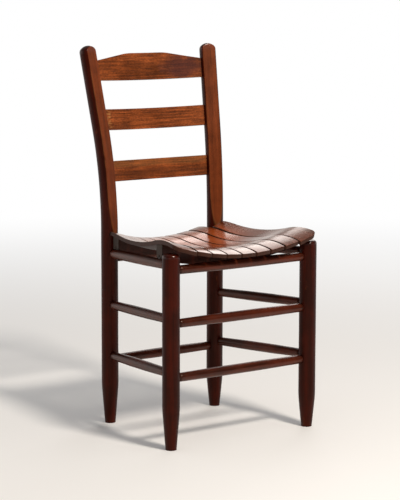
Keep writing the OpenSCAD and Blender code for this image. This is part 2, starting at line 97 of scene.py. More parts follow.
def fraction(name, description, default):
    """A number from 0 to 1 that a user may change."""
    return FloatProperty(name=name, description=description, default=default, min=0, max=1)


def colour(name, description, default):
    """A linear colour that a user may change."""
    return FloatVectorProperty(
        name=name, description=description, default=default, subtype="COLOR", size=3, min=0, max=1
    )


def settings_of(kind, name, description):
    """A set of sizes or colours within the chair's."""
    return PointerProperty(name=name, description=description, type=kind)


# ---- Sizes and colours that a user would change ---------------------------


class CHAIR_PG_legs(PropertyGroup):
    """Sizes of the front legs and back posts."""

    diameter: metres("Diameter", "Diameter of the legs and posts", 0.043)
    foot: metres("Foot", "Diameter of each foot at the floor", 0.027)
    taper_left: metres("Left taper", "Height over which the two left feet taper", 0.112)
    taper_right: metres("Right taper", "Height over which the two right feet taper", 0.094)
    top_round: metres("Top rounding", "Rounding of the front legs' top edge", 0.008)
    lean: degrees("Lean", "Angle that the back leans at its top", 11.8)
    splay: degrees("Splay", "Angle by which each post bends outwards as it bends back", 18.2)
    bend_start: metres("Bend start", "Height at which the posts start to bend", 0.4987)
    bend_rise: metres("Bend rise", "Height over which the posts bend", 0.252)
    straight: metres("Straight top", "Length of a post above its bend, up to its rounded top", 0.19515)
    flat: metres("Flat", "Depth of the flat shaved along the front of each post", 0.0086)
    flat_full: metres("Flat start", "Rise above the bend's start at which the flat has its full depth", 0.1)
    flat_run_in: metres("Flat run-in", "Radius of the run-in below the flat", 1.86)
    dome: metres("Dome", "Height of the rounded top of each post", 0.016)
    dome_shoulder: metres("Dome shoulder", "Radius of the shoulder of that rounded top", 0.012)


class CHAIR_PG_rungs(PropertyGroup):
    """Sizes of the turned rungs."""

    diameter: metres("Diameter", "Diameter of the rungs at their middle", 0.0245)
    seat_diameter: metres("Seat rungs", "Diameter of the side rungs that carry the seat", 0.0254)
    slimming: metres("Slimming", "How much thinner a rung is at its ends", 0.0025)
    tenon: metres("Tenon", "Diameter of the tenons", 0.017)
    tenon_stop: metres("Tenon stop", "Distance of each tenon's end from the centre of its leg", 0.0095)
    shoulder: metres("Shoulder", "Length of the rounded shoulder beside each leg", 0.006)
    rise: metres("Rise", "Rise of the side rungs from back to front", 0.011)


class CHAIR_PG_back(PropertyGroup):
    """Sizes of the three back slats."""

    thickness: metres("Thickness", "Thickness of the back slats", 0.0085)
    bow: metres("Bow", "How far the middle of each slat is bowed back", 0.019)
    set_back: metres("Set back", "Distance of a slat's ends behind the centre of the posts", 0.004)
    crest_half: metres("Crest", "Half of the level length of the top slat's crest", 0.059)
    crest_fall: fraction("Crest fall", "Slope of the crest's shoulders", 0.182)
    crest_soften: metres("Crest corner", "Length of the soft corner between crest and shoulder", 0.03)
    arris: metres("Arris", "Rounding of the slats' worn edges", 0.0014)
    top_slat: heights("Top slat", "Bottom of the top slat, and top of its crest", (0.871, 0.9394))
    middle_slat: heights("Middle slat", "Bottom and top of the middle slat", (0.747, 0.799))
    lower_slat: heights("Lower slat", "Bottom and top of the lower slat", (0.617, 0.669))


class CHAIR_PG_seat(PropertyGroup):
    """Sizes of the nine bent seat boards."""

    thickness: metres("Thickness", "Thickness of the seat boards", 0.01)
    gap: metres("Gap", "Gap between neighbouring seat boards", 0.005)
    height: metres("Height", "Height of the seat at its front crest, in the middle", 0.4727)
    dip: metres("Dip", "Depth of the dip below the front crest", 0.0175)
    rear_drop: metres("Rear drop", "Height of the rear crest below the front crest", 0.0071)
    dish: metres("Dish", "Rise of the seat from its middle to its side edges", 0.032)
    front_crest_in: metres("Front crest", "Distance of the front crest behind the front legs", 0.027)
    dip_in: metres("Dip place", "Distance of the dip behind the front legs", 0.185)
    rear_crest_in: metres("Rear crest", "Distance of the rear crest in front of the back posts", 0.014)
    dip_share: fraction("Dip share", "Share of the tighter side's radii that the dip has", 0.7)
    front_reach: metres("Front reach", "Reach of the seat in front of the front legs", 0.033)
    back_reach: metres("Back reach", "Reach of the middle boards behind the back posts", 0.026)
    side_front: metres("Front side reach", "Reach of the seat beyond the front legs", 0.008)
    side_back: metres("Rear side reach", "Reach of the seat beyond the back posts", 0.007)
    outer_front: metres("Outer board front", "Width of the outer boards at the front", 0.06)
    outer_back: metres("Outer board back", "Width of the outer boards at the back", 0.036)
    corner: metres("Corner", "Rounding of the outer boards' front corners, in plan", 0.02)
    arris: metres("Arris", "Rounding of the boards' worn top edges", 0.0007)


class CHAIR_PG_finish(PropertyGroup):
    """Colours and gloss of the finish."""

    back_wood: colour("Back wood", "Stained wood of the back slats", (0.205, 0.048, 0.0105))
    # The flats' lighter colour is partly thin stain and partly painted light on faces turned to the front.
    flat_wood: colour("Post flats", "Thinner stain on the shaved flats of the posts", (0.15, 0.031, 0.0075))
    leg_wood: colour("Leg wood", "Stain of the legs and round sides of the posts", (0.036, 0.0028, 0.0007))
    rung_wood: colour("Rung wood", "Dark stain of the rungs", (0.055, 0.008, 0.002))
    seat_wood: colour("Seat wood", "Stained wood of the seat boards", (0.1, 0.024, 0.008))
    worn_wood: colour("Worn wood", "Wood rubbed pale at edges and scuffs", (0.42, 0.19, 0.06))
    # Also the colour of the painted shade beside the joints and on the seat boards' sides, ends and
    # undersides.
    grime_and_shade: colour("Grime", "Old wax and dirt in corners and pores", (0.01, 0.003, 0.002))
    steel: colour("Steel", "Heads of the nails, pins and screws", (0.22, 0.2, 0.19))
    roughness: fraction("Roughness", "Roughness of the varnish", 0.32)


class CHAIR_PG_stage(PropertyGroup):
    """Floor, lamps and camera."""

    floor: colour("Floor", "Colour of the floor", (0.92, 0.9, 0.88))
    key_power: FloatProperty(
        name="Key", description="Power of the soft lamp in front", default=95, min=0, unit="POWER"
    )
    fill: FloatProperty(name="Fill", description="Strength of the even light all round", default=0.4, min=0)
    lens: FloatProperty(name="Lens", description="Focal length of the camera, in mm", default=136.9, min=1)
    yaw: degrees("Yaw", "Turn of the camera to the right of straight ahead", 36.685)
    pitch: degrees("Pitch", "Downward tilt of the camera", 8.0589)
    roll: degrees("Roll", "Sideways tilt of the camera", 0.1186)
    eye: FloatVectorProperty(
        name="Eye",
        description="Place of the camera",
        default=(-2.8277, -3.8173, 1.1195),
        size=3,
        subtype="TRANSLATION",
        unit="LENGTH",
    )


class CHAIR_PG_chair(PropertyGroup):
    """Everything about the chair that a user would change."""

    legs: settings_of(CHAIR_PG_legs, "Legs", "Legs and posts")
    rungs: settings_of(CHAIR_PG_rungs, "Rungs", "Turned rungs")
    back: settings_of(CHAIR_PG_back, "Back", "Back slats")
    seat: settings_of(CHAIR_PG_seat, "Seat", "Seat boards")
    finish: settings_of(CHAIR_PG_finish, "Finish", "Colours and gloss")
    stage: settings_of(CHAIR_PG_stage, "Stage", "Floor, lamps and camera")


# ---- Where the frame puts things -------------------------------------------


def foot_places():
    """Centre of each foot on the floor, by node, from the record's mounts."""
    places = {}
    for mount in frame["record"]["mounts"]:
        end, side = mount["name"].split("_")[1:]
        node = f"front_leg_{side}" if end == "front" else f"back_post_{side}"
        places[node] = Vector(mount["pos_m"])
    return places


def middle(node):
    """Middle of a node's box."""
    low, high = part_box(node)
    return (low + high) / 2


# ---- Mesh tools -------------------------------------------------------------


def soft_corner(before, corner, after, steps=6):
    """Points of a curve that rounds the corner between two lines."""
    before, corner, after = Vector(before), Vector(corner), Vector(after)
    points = []
    for step in range(steps):
        t = step / (steps - 1)
        points.append((1 - t) ** 2 * before + 2 * t * (1 - t) * corner + t**2 * after)
    return points


def arc(centre, radius, start, end, steps):
    """Points of an arc in a half profile, from angle start to end above the horizontal."""
    points = []
    for step in range(steps + 1):
        angle = start + (end - start) * step / steps
        points.append(Vector(centre) + radius * Vector((math.cos(angle), math.sin(angle))))
    return points


def spaced(start, end, pitch):
    """Evenly spaced values between start and end, without either, about a pitch apart."""
    count = max(1, round((end - start) / pitch))
    return [start + (end - start) * k / count for k in range(1, count)]


def turn(profile, segments):
    """Turns a half profile of (radius, height) points about Z, like work on a lathe."""
    bm = bmesh.new()
    verts = [bm.verts.new((point[0], 0, point[1])) for point in profile]
    edges = [bm.edges.new(pair) for pair in zip(verts, verts[1:])]
    bmesh.ops.spin(
        bm, geom=verts + edges, cent=(0, 0, 0), axis=(0, 0, 1),
        angle=math.tau, steps=segments, use_merge=True,
    )
    bmesh.ops.remove_doubles(bm, verts=bm.verts, dist=MERGE)
    bmesh.ops.recalc_face_normals(bm, faces=bm.faces)
    return bm


def block(low, high):
    """A straight block between two corners."""
    bm = bmesh.new()
    low, high = Vector(low), Vector(high)
    size = high - low
    place = Matrix.Translation((low + high) / 2) @ Matrix.Diagonal((*size, 1))
    bmesh.ops.create_cube(bm, size=1, matrix=place)
    return bm


def round_edges(bm, edges, radius, segments):
    """Rounds edges with a bevel."""
    bmesh.ops.bevel(
        bm, geom=edges, offset=radius, offset_type="OFFSET", affect="EDGES",
        segments=segments, profile=0.5, material=-1, clamp_overlap=True,
    )


def saw_rings(bm, axis, places):
    """Cuts rings of edges square to an axis, so that the block can be bent."""
    normal = Vector((0, 0, 0))
    normal[axis] = 1
    for place in places:
        geom = bm.verts[:] + bm.edges[:] + bm.faces[:]
        bmesh.ops.bisect_plane(bm, geom=geom, dist=1e-7, plane_co=normal * place, plane_no=normal)


def mark_blank(bm, along, shift):
    """Keeps every point's place in the straight blank, with the grain turned to Z.

    The attribute grain holds it in metres, and the attribute share from -1 to 1 on each axis. The
    shift moves the grain, so that no two pieces show the same pattern.
    """
    grain = bm.verts.layers.float_vector.new("grain")
    share = bm.verts.layers.float_vector.new("share")
    order = {"X": (2, 1, 0), "Y": (0, 2, 1), "Z": (0, 1, 2)}[along]
    corners = [[vert.co[axis] for vert in bm.verts] for axis in order]
    low = Vector([min(values) for values in corners])
    high = Vector([max(values) for values in corners])
    for vert in bm.verts:
        place = Vector([vert.co[axis] for axis in order])
        vert[grain] = place + shift
        vert[share] = [2 * (place[k] - low[k]) / (high[k] - low[k]) - 1 for k in range(3)]


def bend(bm, rule):
    """Moves every point of the straight blank to its place on the finished piece."""
    for vert in bm.verts:
        vert.co = rule(vert.co)


def hand_worn(bm, share, size, seed):
    """Takes up to a small share off the blank's thickness, smoothly, as hand work and years of use do."""
    for vert in bm.verts:
        sample = vert.co / size + Vector((seed, 2.3 * seed, 0))
        left = 1 - share * (0.5 + 0.5 * noise.noise(sample))
        vert.co.x *= left
        vert.co.y *= left


def add_object(name, data):
    """Puts a mesh, lamp or camera in the scene."""
    made = bpy.data.objects.new(name, data)
    bpy.context.scene.collection.objects.link(made)
    return made


def add_mesh(bm, name, material):
    """Puts a worked mesh in the scene with one material."""
    mesh = bpy.data.meshes.new(name)
    bm.to_mesh(mesh)
    bm.free()
    mesh.materials.append(material)
    return add_object(name, mesh)


def finish_piece(bm, name, node, material, flat_sided=False):
    """Makes the piece, lets it ride on the chair and stand for its CAD node."""
    piece = add_mesh(bm, name, material)
    piece.data.shade_smooth()
    if flat_sided:
        even = piece.modifiers.new("even_shading", "WEIGHTED_NORMAL")
        even.weight = 100
    else:
        piece.data.set_sharp_from_angle(angle=SHARP_FROM)
    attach(piece, ROOT)
    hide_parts(node)


# ---- Shader tools -----------------------------------------------------------

VARNISH_TINT = (1.0, 0.78, 0.62, 1.0)
SHEEN_TINT = (1.0, 0.55, 0.4, 1.0)
DARK_PATCH = (0.045, 0.014, 0.016, 1.0)
END_GRAIN = (0.035, 0.032, 0.026, 1.0)
RUST = (0.07, 0.03, 0.016, 1.0)
WHITE = (1.0, 1.0, 1.0, 1.0)


def math_operator(operation, swapped=False):
    """A Python operator that adds a Math node, with its two values swapped in the reflected kind."""

    def apply(self, other):
        values = (other, self) if swapped else (self, other)
        return self.math(operation, *values)

    return apply


class Signal:
    """A node's output. Python's operators on it add Math nodes."""

    def __init__(self, finish, socket):
        self.finish = finish
        self.socket = socket

    def math(self, operation, *values):
        return self.finish.node("ShaderNodeMath", {"operation": operation}, dict(enumerate(values)))

    __add__ = math_operator("ADD")
    __radd__ = math_operator("ADD", swapped=True)
    __sub__ = math_operator("SUBTRACT")
    __rsub__ = math_operator("SUBTRACT", swapped=True)
    __mul__ = math_operator("MULTIPLY")
    __rmul__ = math_operator("MULTIPLY", swapped=True)
    __pow__ = math_operator("POWER")

    def __abs__(self):
        return self.math("ABSOLUTE", self)


class Finish:
    """A node tree that a material or the world is built in."""

    def __init__(self, tree):
        self.tree = tree
        tree.nodes.clear()

    def node(self, kind, settings, inputs, output=0):
        """Adds a node, sets it, gives its inputs values or links, and returns one output."""
        made = self.tree.nodes.new(kind)
        for name, value in settings.items():
            if name == "stops":
                self.set_stops(made.color_ramp, value)
            else:
                setattr(made, name, value)
        for key, value in inputs.items():
            if isinstance(value, Signal):
                self.tree.links.new(value.socket, made.inputs[key])
            else:
                made.inputs[key].default_value = value
        return Signal(self, made.outputs[output]) if len(made.outputs) else made

    @staticmethod
    def set_stops(ramp, stops):
        ramp.elements.remove(ramp.elements[1])
        ramp.elements[0].position, ramp.elements[0].color = stops[0]
        for place, shade in stops[1:]:
            ramp.elements.new(place).color = shade

    def blend(self, factor, first, second):
        """first where factor is 0, second where it is 1."""
        return self.node("ShaderNodeMix", {"data_type": "RGBA"}, {0: factor, 6: first, 7: second}, 2)

    def noise(self, place, scale, detail=3.0, roughness=0.5, distortion=0.0):
        inputs = {
            "Vector": place, "Scale": scale, "Detail": detail,
            "Roughness": roughness, "Distortion": distortion,
        }
        return self.node("ShaderNodeTexNoise", {}, inputs)

    def stretch(self, place, factors):
        """A place with each coordinate multiplied, which stretches a pattern."""
        return self.node("ShaderNodeVectorMath", {"operation": "MULTIPLY"}, {0: place, 1: factors})

    def step(self, value, start, end):
        """0 up to start and 1 from end on, with a smooth rise between them."""
        inputs = {"Value": value, "From Min": start, "From Max": end, "To Min": 0.0, "To Max": 1.0}
        return self.node("ShaderNodeMapRange", {"interpolation_type": "SMOOTHSTEP"}, inputs)

    def band(self, value, middle, width):
        """1 where value is at the middle, falling to 0 at a width on either side."""
        return 1.0 - self.step(abs(value - middle), 0.0, width)

    def attribute(self, name):
        return self.node("ShaderNodeAttribute", {"attribute_name": name}, {}, "Vector")

    def object_place(self):
        """Place of a point on the object, in metres."""
        return self.node("ShaderNodeTexCoord", {}, {}, "Object")

    def parts(self, vector):
        """The three coordinates of a vector."""
        split = self.node("ShaderNodeSeparateXYZ", {}, {0: vector}).socket.node
        return [Signal(self, output) for output in split.outputs]


def rgba(shade, factor=1.0):
    """A colour property as a socket's four numbers, dimmed or brightened by a factor."""
    return (*(min(1.0, part * factor) for part in shade), 1.0)


def new_material(name):
    material = bpy.data.materials.new(name)
    material.use_nodes = True
    return material, Finish(material.node_tree)


def close_material(made, inputs, relief, strength, depth):
    """Ends a material with its shader; a relief of 1 stands out by the depth."""
    bump = made.node("ShaderNodeBump", {}, {"Strength": strength, "Distance": depth, "Height": relief})
    shader = made.node("ShaderNodeBsdfPrincipled", {}, {**inputs, "Normal": bump})
    made.node("ShaderNodeOutputMaterial", {}, {"Surface": shader})


def varnished(made, base, roughness, relief, coat=0.3, shine=0.3, depth=0.0004, coat_roughness=0.2):
    """Ends a material with a reddish varnish over its wood."""
    inputs = {
        "Base Color": base, "Roughness": roughness,
        "Coat Weight": coat, "Coat Roughness": coat_roughness, "Coat Tint": VARNISH_TINT,
        "Specular IOR Level": shine, "Specular Tint": SHEEN_TINT,
    }
    close_material(made, inputs, relief, 0.5, depth)


def wood_layers(made, grain, stretch, ring_scale):
    """The wood's own pattern: broad rings, fine pores and uneven stain, each from 0 to 1.

    The rings are drawn out along the grain by stretch; ring_scale is how many there are to a metre.
    """
    long_grain = made.stretch(grain, (1.0, 1.0, stretch))
    rings = made.noise(long_grain, ring_scale, 4.0, 0.55, 0.4)
    pores = made.step(made.noise(made.stretch(grain, (1.0, 1.0, 0.03)), 620.0, 2.0, 0.6), 0.52, 0.7)
    stain = made.noise(grain, 16.0, 3.0, 0.55, 0.3)
    return rings, pores, stain


def toned(made, layers, span, shade, dark, light):
    """One stain, from darker to lighter as the wood's layers go through a span."""
    return made.blend(made.step(layers, *span), rgba(shade, dark), rgba(shade, light))


def rung_wood(settings):
    """Dark stained wood of the turned rungs, with old wax and painted shade beside the legs."""
    material, made = new_material("rung_wood")
    rings, pores, stain = wood_layers(made, made.attribute("grain"), 0.05, 70.0)
    base = toned(made, rings * 0.6 + stain * 0.4, (0.34, 0.66), settings.rung_wood, 0.42, 1.5)
    base = made.blend(pores * 0.45, base, rgba(settings.grime_and_shade))
    along = made.parts(made.attribute("share"))[2]
    # Painted shade with old wax: the ends beside the legs are darkened, as an occlusion shade would darken
    # them.
    wax_and_shade_at_ends = made.step(abs(along), 0.84, 0.98)
    base = made.blend(wax_and_shade_at_ends * 0.55, base, rgba(settings.grime_and_shade, 1.3))
    roughness = settings.roughness + stain * 0.2 - rings * 0.08
    varnished(made, base, roughness, rings * 0.5 - pores * 0.6 + stain)
    return material


def leg_wood(settings):
    """Almost black-red stain on the front legs, with scattered rubbed spots."""
    material, made = new_material("leg_wood")
    grain = made.attribute("grain")
    rings, pores, stain = wood_layers(made, grain, 0.035, 55.0)
    base = toned(made, rings * 0.65 + stain * 0.35, (0.36, 0.66), settings.leg_wood, 0.45, 1.45)
    base = made.blend(pores * 0.4, base, rgba(settings.grime_and_shade))
    worn = rubbed_spots(made, grain)
    base = made.blend(worn * 0.35, base, rgba(settings.flat_wood, 0.8))
    roughness = settings.roughness + 0.02 + stain * 0.2 + worn * 0.2
    relief = rings * 0.4 - pores * 0.5 + stain
    varnished(made, base, roughness, relief, coat=handled_top(made), shine=0.16)
    return material


def rubbed_spots(made, grain):
    """1 on scattered spots where the stain is rubbed thin, and 0 elsewhere."""
    spots = made.noise(made.stretch(grain, (1.0, 1.0, 0.35)), 85.0, 3.0, 0.6)
    where = made.noise(grain, 9.0, 1.0)
    return made.step(spots, 0.62, 0.72) * made.step(where, 0.5, 0.62)


def handled_top(made):
    """Coat weight of a leg or post, whose rounded top is polished by hands."""
    up = made.parts(made.attribute("share"))[2]
    return 0.05 + made.step(up, 0.95, 0.975) * 0.6


def post_wood(settings):
    """Posts: dark on their round sides and redder on the shaved flat, where the stain is thin and painted
    light from the front falls.
    """
    material, made = new_material("post_wood")
    grain = made.attribute("grain")
    rings, pores, stain = wood_layers(made, grain, 0.03, 60.0)
    dark = toned(made, rings * 0.65 + stain * 0.35, (0.34, 0.66), settings.leg_wood, 0.5, 1.5)
    thin_stain_and_light = toned(made, rings * 0.5 + stain * 0.5, (0.3, 0.7), settings.flat_wood, 0.62, 1.3)
    on_flat, arris = made.parts(made.attribute("shave"))[:2]
    # The flat is lighter partly for its thinner stain and partly as painted light, since it faces the lamp
    # in front.
    base = made.blend(made.step(on_flat, 0.2, 0.8), dark, thin_stain_and_light)
    base = made.blend(arris * made.step(stain, 0.35, 0.6) * 0.4, base, rgba(settings.worn_wood, 0.5))
    base = made.blend(pores * 0.4, base, rgba(settings.grime_and_shade))
    worn = rubbed_spots(made, grain)
    base = made.blend(worn * 0.3, base, rgba(settings.flat_wood, 1.2))
    roughness = settings.roughness + stain * 0.2 + worn * 0.2
    relief = rings * 0.4 - pores * 0.5 + stain
    varnished(made, base, roughness, relief, coat=handled_top(made), shine=0.16)
    return material


def back_slat_wood(name, settings, tone_shift, marks):
    """Streaked, orange-brown wood of a back slat, with the marks that slat has."""
    material, made = new_material(name)
    grain = made.attribute("grain")
    across, _, along = made.parts(made.attribute("share"))
    rings, pores, stain = wood_layers(made, grain, 0.05, 210.0)
    specks = made.noise(made.stretch(grain, (1.0, 1.0, 0.35)), 480.0, 2.0, 0.7)
    tone = made.step(rings * 0.45 + specks * 0.3 + stain * 0.25 + tone_shift, 0.36, 0.64)
    strengths = ((0.0, 0.34), (0.45, 0.85), (0.8, 1.3), (1.0, 1.85))
    stops = [(place, rgba(settings.back_wood, strength)) for place, strength in strengths]
    base = made.node("ShaderNodeValToRGB", {"stops": stops}, {0: tone})
    base = marks(made, settings, base, grain, across, along)
    base = made.blend(pores * 0.5, base, rgba(settings.grime_and_shade, 2.0))
    rim = made.step(abs(across), 0.9, 1.0) * made.step(stain, 0.4, 0.6)
    base = made.blend(rim * 0.3, base, rgba(settings.worn_wood, 0.8))
    # Painted shade with grime: the slat darkens towards its ends, where it meets the posts.
    grime_and_shade_at_joint = made.step(abs(along), 0.86, 0.93)
    base = made.blend(grime_and_shade_at_joint * 0.5, base, rgba(settings.grime_and_shade, 2.0))
    roughness = settings.roughness + 0.06 + stain * 0.2 - rings * 0.1
    varnished(made, base, roughness, rings * 0.6 - pores * 0.8 + stain * 0.8, coat=0.08, shine=0.25)
    return material


def top_slat_marks(made, settings, base, grain, across, along):
    """Mottled stain, with a darker purple-brown patch towards the right."""
    mottle = made.noise(made.stretch(grain, (1.0, 1.0, 0.6)), 260.0, 4.0, 0.75, 0.5)
    base = made.blend(made.step(mottle, 0.45, 0.68) * 0.5, base, rgba(settings.back_wood, 0.55))
    wander = made.noise(grain, 28.0, 2.0) - 0.5
    from_patch = ((along - 0.6) * 2.5) ** 2.0 + ((across + 0.1) * 0.8) ** 2.0
    patch = 1.0 - made.step(from_patch + wander * 1.6, 0.0, 1.15)
    return made.blend(patch * 0.72, base, DARK_PATCH)


def middle_slat_marks(made, settings, base, grain, across, along):
    """A column of pale scuffs at the left end, and fine level streaks."""
    streaks = made.noise(made.stretch(grain, (1.0, 1.0, 0.02)), 260.0, 3.0, 0.7)
    base = made.blend(made.step(streaks, 0.5, 0.7) * 0.45, base, rgba(settings.back_wood, 0.5))
    dashes = made.noise(made.stretch(grain, (1.0, 1.0, 0.22)), 300.0, 2.0, 0.6)
    scuffs = made.step(dashes, 0.5, 0.62) * made.band(along, -0.83, 0.1)
    return made.blend(scuffs * 0.75, base, rgba(settings.worn_wood, 1.1))


def lower_slat_marks(made, settings, base, grain, across, along):
    """A darker band in the lower half, and a paler one along the top."""
    wander = (made.noise(made.stretch(grain, (1.0, 1.0, 0.12)), 60.0, 3.0) - 0.5) * 0.7
    lower = made.band(across + wander, -0.3, 0.5)
    base = made.blend(lower * 0.5, base, rgba(settings.back_wood, 0.4))
    upper = made.step(across + wander, 0.15, 0.5)
    return made.blend(upper * 0.25, base, rgba(settings.worn_wood, 0.7))


def seat_wood(settings, number, tone_shift):
    """A seat board: brown, rubbed to a warmer colour in the dip and paler at its edges, with painted shade
    on its sides, ends and underside.
    """
    material, made = new_material(f"seat_wood_{number}")
    across, up = made.parts(made.attribute("share"))[:2]
    rings, pores, stain = wood_layers(made, made.attribute("grain"), 0.05, 75.0)
    layers = rings * 0.6 + stain * 0.4 + tone_shift
    base = toned(made, layers, (0.32, 0.68), settings.seat_wood, 0.5, 1.45)
    x, y = made.parts(made.object_place())[:2]
    from_dip = ((x - 0.03) * 6.0) ** 2.0 + ((y - 0.035) * 7.0) ** 2.0
    dip = 1.0 - made.step(from_dip + stain * 0.5, 0.35, 1.3)
    base = made.blend(dip * (0.5 + rings * 0.5), base, rgba(settings.back_wood, 2.2))
    rim = made.step(abs(across), 0.9, 1.0) * made.step(up, 0.55, 0.95)
    base = made.blend(rim * made.step(stain, 0.42, 0.6) * 0.2, base, rgba(settings.worn_wood, 0.6))
    # Painted shade: everything below the top face, the sides in the gaps, the ends and the underside, is
    # darkened.
    below = 1.0 - made.step(up, 0.85, 0.99)
    base = made.blend(below * 0.85, base, rgba(settings.grime_and_shade, 1.6))
    base = made.blend(pores * 0.4, base, rgba(settings.grime_and_shade, 1.5))
    roughness = settings.roughness - 0.1 + stain * 0.16 - rings * 0.05 + below * 0.25
    dull_streaks = made.step(rings * 0.5 + stain * 0.5, 0.42, 0.6)
    coat = (0.8 - dull_streaks * 0.3) * (1.0 - below)
    relief = rings * 0.4 - pores * 0.4 + stain
    varnished(made, base, roughness, relief, coat=coat, shine=0.4, depth=0.00015, coat_roughness=0.17)
    return material


def rail_wood(node, settings):
    """A sawn rail under the seat, dark and dull, with the grain along X."""
    material, made = new_material(f"{node}_wood")
    place = made.object_place()
    turned = made.node("ShaderNodeMapping", {}, {"Vector": place, "Rotation": (0.0, math.pi / 2, 0.0)})
    rings, pores, stain = wood_layers(made, turned, 0.05, 80.0)
    base = toned(made, rings * 0.6 + stain * 0.4, (0.34, 0.66), settings.leg_wood, 0.35, 1.0)
    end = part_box(node)[1].x
    at_end = made.step(abs(made.parts(place)[0]), end - 0.003, end - 0.0005)
    base = made.blend(at_end * 0.8, base, END_GRAIN)
    base = made.blend(pores * 0.4, base, rgba(settings.grime_and_shade))
    roughness = settings.roughness + 0.12 + stain * 0.2
    varnished(made, base, roughness, rings * 0.6 + stain, coat=0.1)
    return material


def old_steel(settings):
    """Nail, pin and screw heads, browned a little."""
    material, made = new_material("old_steel")
    place = made.object_place()
    rust = made.step(made.noise(place, 900.0, 3.0, 0.6), 0.48, 0.65)
    base = made.blend(rust * 0.6, rgba(settings.steel), RUST)
    inputs = {"Base Color": base, "Metallic": 1.0 - rust * 0.7, "Roughness": 0.36 + rust * 0.4}
    close_material(made, inputs, made.noise(place, 1500.0), 0.4, 0.0002)
    return material


# ---- Legs and posts ---------------------------------------------------------

# Worn edge of each foot, and the length over which its taper starts
FOOT_CHAMFER = 0.0014
FOOT_SOFTEN = 0.014
# Width of the worn edge along a shaved flat
FLAT_ARRIS = 0.0016
# Share of the thickness lost to wear, and the size of the worn places
POST_WEAR = 0.012
POST_WEAR_SIZE = 0.06
# Fineness of the mesh: round the leg, round its top, and along straight and bent wood
POST_SEGMENTS = 96
ARC_STEPS = 8
PLAIN_PITCH = 0.03
BEND_PITCH = 0.006


def foot_profile(sizes, taper):
    """Half profile of a foot, from its middle on the floor up to the full leg."""
    radius = sizes.diameter / 2
    foot = Vector((sizes.foot / 2, 0))
    corner = Vector((radius, taper - FOOT_SOFTEN))
    slope = (corner - foot).normalized()
    inner = foot - Vector((FOOT_CHAMFER, 0))
    worn = soft_corner(inner, foot, foot + FOOT_CHAMFER * slope, 4)
    straight = [foot.lerp(corner, share) for share in (0.25, 0.5, 0.75)]
    return [Vector((0, 0)), *worn, *straight,
            *soft_corner(corner - FOOT_SOFTEN * slope, corner, (radius, taper))]


def bend_radius(sizes):
    """Radius of the bend along the middle of a post."""
    return sizes.bend_rise / math.sin(sizes.lean)


class PostBend:
    """The line that a back post follows: upright, a bend, and a straight leaning top."""

    def __init__(self, sizes, side, foot):
        self.lean = sizes.lean
        self.start = sizes.bend_start
        self.radius = bend_radius(sizes)
        self.arc_length = self.radius * sizes.lean
        self.end = Vector((self.radius * (1 - math.cos(sizes.lean)), 0, self.start + sizes.bend_rise))
        turned = Matrix.Rotation(math.pi / 2 - side * sizes.splay, 4, "Z")
        self.place = Matrix.Translation(foot) @ turned

    def bent(self, point):
        """Place of a point in the upright blank, after bending."""
        along = point.z - self.start
        if along <= 0:
            moved = point
        elif along < self.arc_length:
            angle = along / self.radius
            reach = self.radius - point.x
            moved = Vector((
                self.radius - reach * math.cos(angle), point.y, self.start + reach * math.sin(angle)))
        else:
            top = Vector((point.x, point.y, along - self.arc_length))
            moved = self.end + Matrix.Rotation(self.lean, 3, "Y") @ top
        return self.place @ moved


def flat_depth_at(sizes, height):
    """Depth of the shaved flat at a height on the upright blank."""
    radius = bend_radius(sizes)
    full = sizes.bend_start + radius * math.asin(sizes.flat_full / radius)
    below = max(0.0, full - height)
    flat_radius = radius + sizes.diameter / 2 - sizes.flat
    return sizes.flat - below**2 / 2 * (1 / flat_radius + 1 / sizes.flat_run_in)


def shave_flat(bm, sizes):
    """Shaves the flat along the front of a post, with a worn arris.

    The attribute shave says where the flat is, and where its arris.
    """
    shave = bm.verts.layers.float_vector.new("shave")
    for vert in bm.verts:
        limit = flat_depth_at(sizes, vert.co.z) - sizes.diameter / 2
        above = vert.co.x - limit
        near = max(FLAT_ARRIS - abs(above), 0) / FLAT_ARRIS
        on_flat = min(1.0, max(0.0, 0.5 - above / FLAT_ARRIS / 2))
        vert[shave] = (on_flat, near, 0)
        vert.co.x = max(vert.co.x, limit) + near**2 * FLAT_ARRIS / 4


def dome_profile(sizes, height):
    """Half profile of a post's rounded top, whose shoulder starts at a height."""
    inner = sizes.diameter / 2 - sizes.dome_shoulder
    rise = sizes.dome - sizes.dome_shoulder
    down = (inner**2 - rise**2) / (2 * rise)
    meet = math.atan2(down, inner)
    shoulder = arc((inner, height), sizes.dome_shoulder, 0, meet, ARC_STEPS)
    crown = arc((0, height - down), sizes.dome + down, meet, math.pi / 2, ARC_STEPS)
    return shoulder + crown[1:]


def taper_height(sizes, side):
    return sizes.taper_left if side < 0 else sizes.taper_right


def turned_post(sizes, side, heights, crown):
    """A turned leg or post: its foot, rings at the given heights, and its top."""
    body = [Vector((sizes.diameter / 2, height)) for height in heights]
    return turn([*foot_profile(sizes, taper_height(sizes, side)), *body, *crown], POST_SEGMENTS)


def make_back_post(side_name, sizes, material):
    side = SIDES[side_name]
    node = f"back_post_{side_name}"
    path = PostBend(sizes, side, foot_places()[node])
    top = path.start + path.arc_length + sizes.straight
    plain_end = path.start - PLAIN_PITCH
    plain = spaced(taper_height(sizes, side), plain_end, PLAIN_PITCH)
    heights = [*plain, *spaced(plain_end, top, BEND_PITCH)]
    bm = turned_post(sizes, side, heights, dome_profile(sizes, top))
    mark_blank(bm, "Z", Vector((0.4 * side, 0.7, 0)))
    shave_flat(bm, sizes)
    hand_worn(bm, POST_WEAR, POST_WEAR_SIZE, 3 + side)
    bend(bm, path.bent)
    finish_piece(bm, f"{side_name}_bent_post", node, material)


